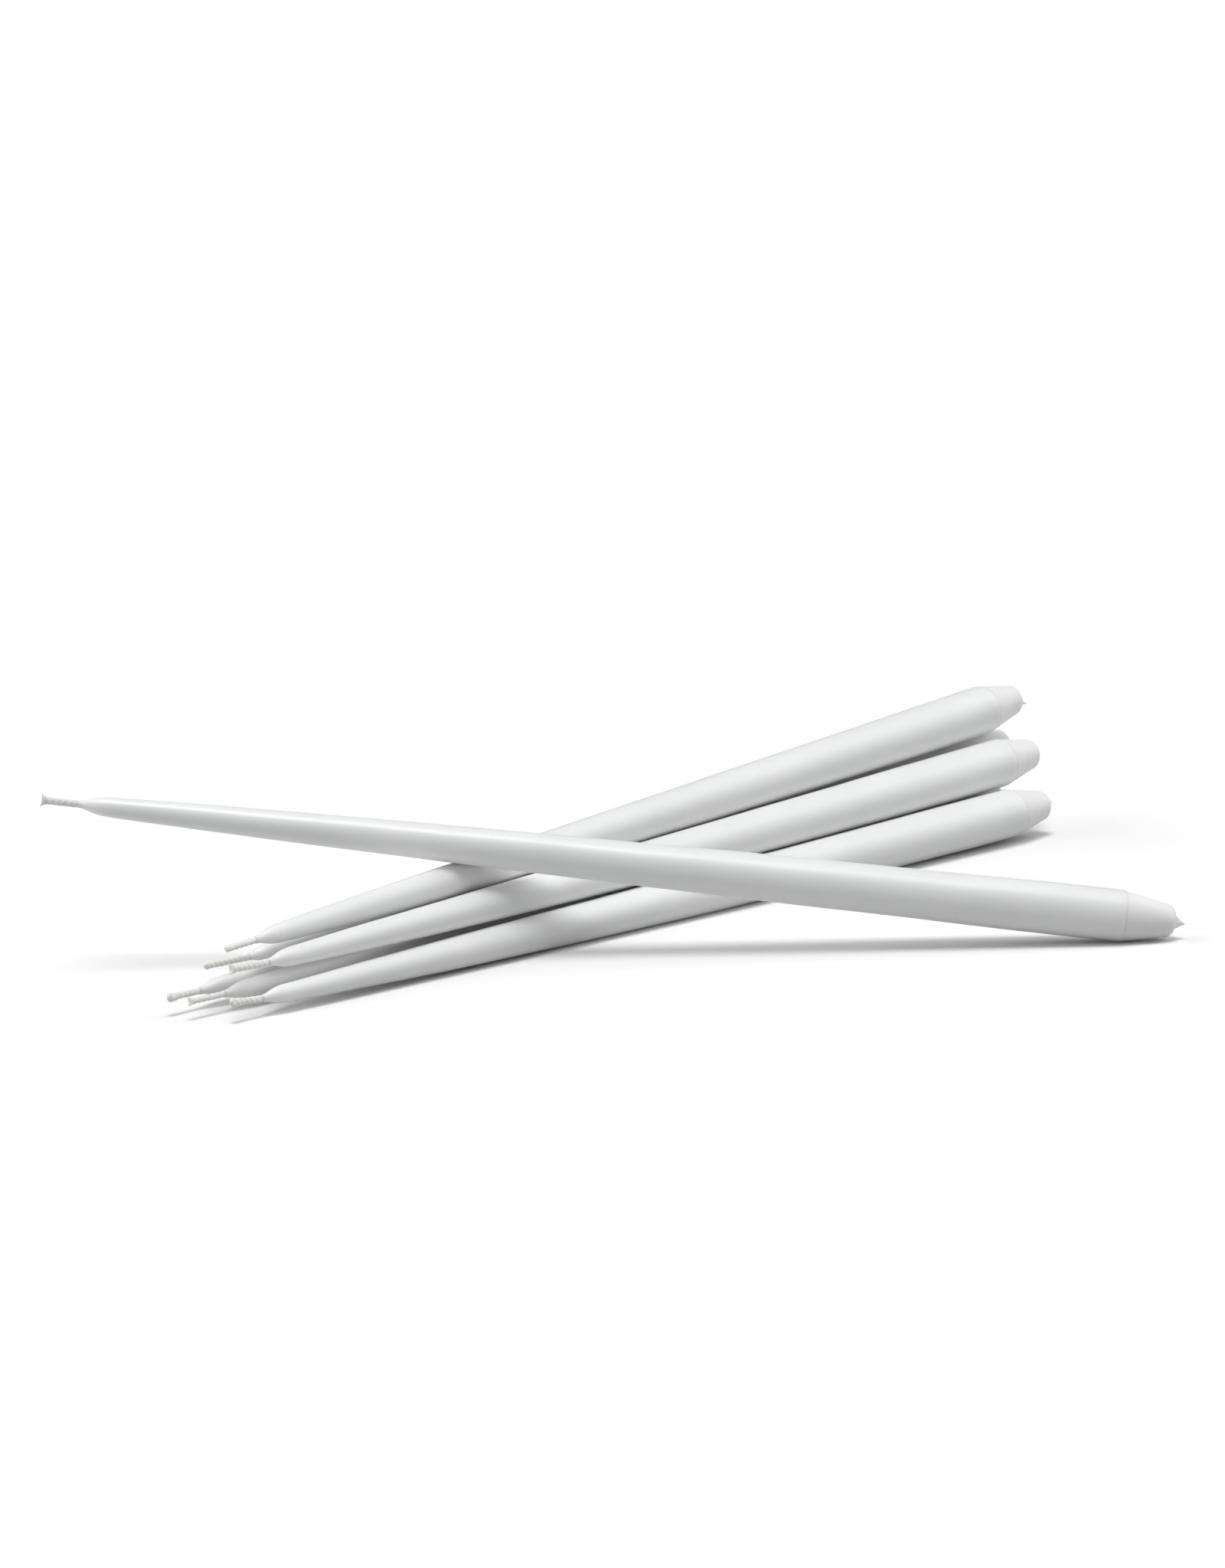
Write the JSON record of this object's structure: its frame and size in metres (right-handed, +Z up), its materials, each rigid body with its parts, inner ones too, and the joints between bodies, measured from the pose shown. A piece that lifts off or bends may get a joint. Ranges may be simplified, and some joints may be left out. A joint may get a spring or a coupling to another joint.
{
  "type": "taper candle set",
  "caption": "Loose pile of slim dipped white taper candles with braided wicks and conical fitted ends, with one candle lying across the others.",
  "frame": {"origin": "on the table plane, below the middle of the set's box", "axes": "+X along the crossing candle towards its fitted end, +Y towards the fitted ends of the piled candles, +Z up"},
  "size_m": [0.2822, 0.2153, 0.0439],
  "materials": {
    "wax_core": "white candle wax, matt and slightly translucent where the fitted end is cut",
    "wax_coat": "smooth white overdip wax, soft gloss, slightly translucent",
    "wick": "braided cotton, waxed"
  },
  "bodies": {
    "crossing_candle": {"crossing_core": "wax_core", "crossing_coat": "wax_coat", "crossing_wick": "wick"},
    "top_candle": {"top_core": "wax_core", "top_coat": "wax_coat", "top_wick": "wick"},
    "middle_front_candle": {"middle_front_core": "wax_core", "middle_front_coat": "wax_coat", "middle_front_wick": "wick"},
    "middle_rear_candle": {"middle_rear_core": "wax_core", "middle_rear_coat": "wax_coat", "middle_rear_wick": "wick"},
    "bottom_rear_candle": {"bottom_rear_core": "wax_core", "bottom_rear_coat": "wax_coat", "bottom_rear_wick": "wick"},
    "bottom_centre_candle": {"bottom_centre_core": "wax_core", "bottom_centre_coat": "wax_coat", "bottom_centre_wick": "wick"},
    "bottom_front_candle": {"bottom_front_core": "wax_core", "bottom_front_coat": "wax_coat", "bottom_front_wick": "wick"}
  },
  "joints": [
    {"name": "crossing_lift", "type": "slide", "parent": "bottom_centre_candle", "child": "crossing_candle", "axis": [0, 0, 1], "range_m": [0, 0.12]},
    {"name": "top_draw", "type": "slide", "parent": "bottom_centre_candle", "child": "top_candle", "axis": [0.7169, 0.694, 0.0659], "range_m": [0, 0.3]},
    {"name": "middle_front_draw", "type": "slide", "parent": "bottom_centre_candle", "child": "middle_front_candle", "axis": [0.7205, 0.6928, 0.0301], "range_m": [0, 0.3]},
    {"name": "middle_rear_draw", "type": "slide", "parent": "bottom_centre_candle", "child": "middle_rear_candle", "axis": [0.7138, 0.6995, 0.036], "range_m": [0, 0.3]},
    {"name": "bottom_rear_draw", "type": "slide", "parent": "bottom_centre_candle", "child": "bottom_rear_candle", "axis": [0.7044, 0.7098, 0], "range_m": [0, 0.3]},
    {"name": "bottom_front_draw", "type": "slide", "parent": "bottom_centre_candle", "child": "bottom_front_candle", "axis": [0.7343, 0.6788, 0], "range_m": [0, 0.3]}
  ]
}
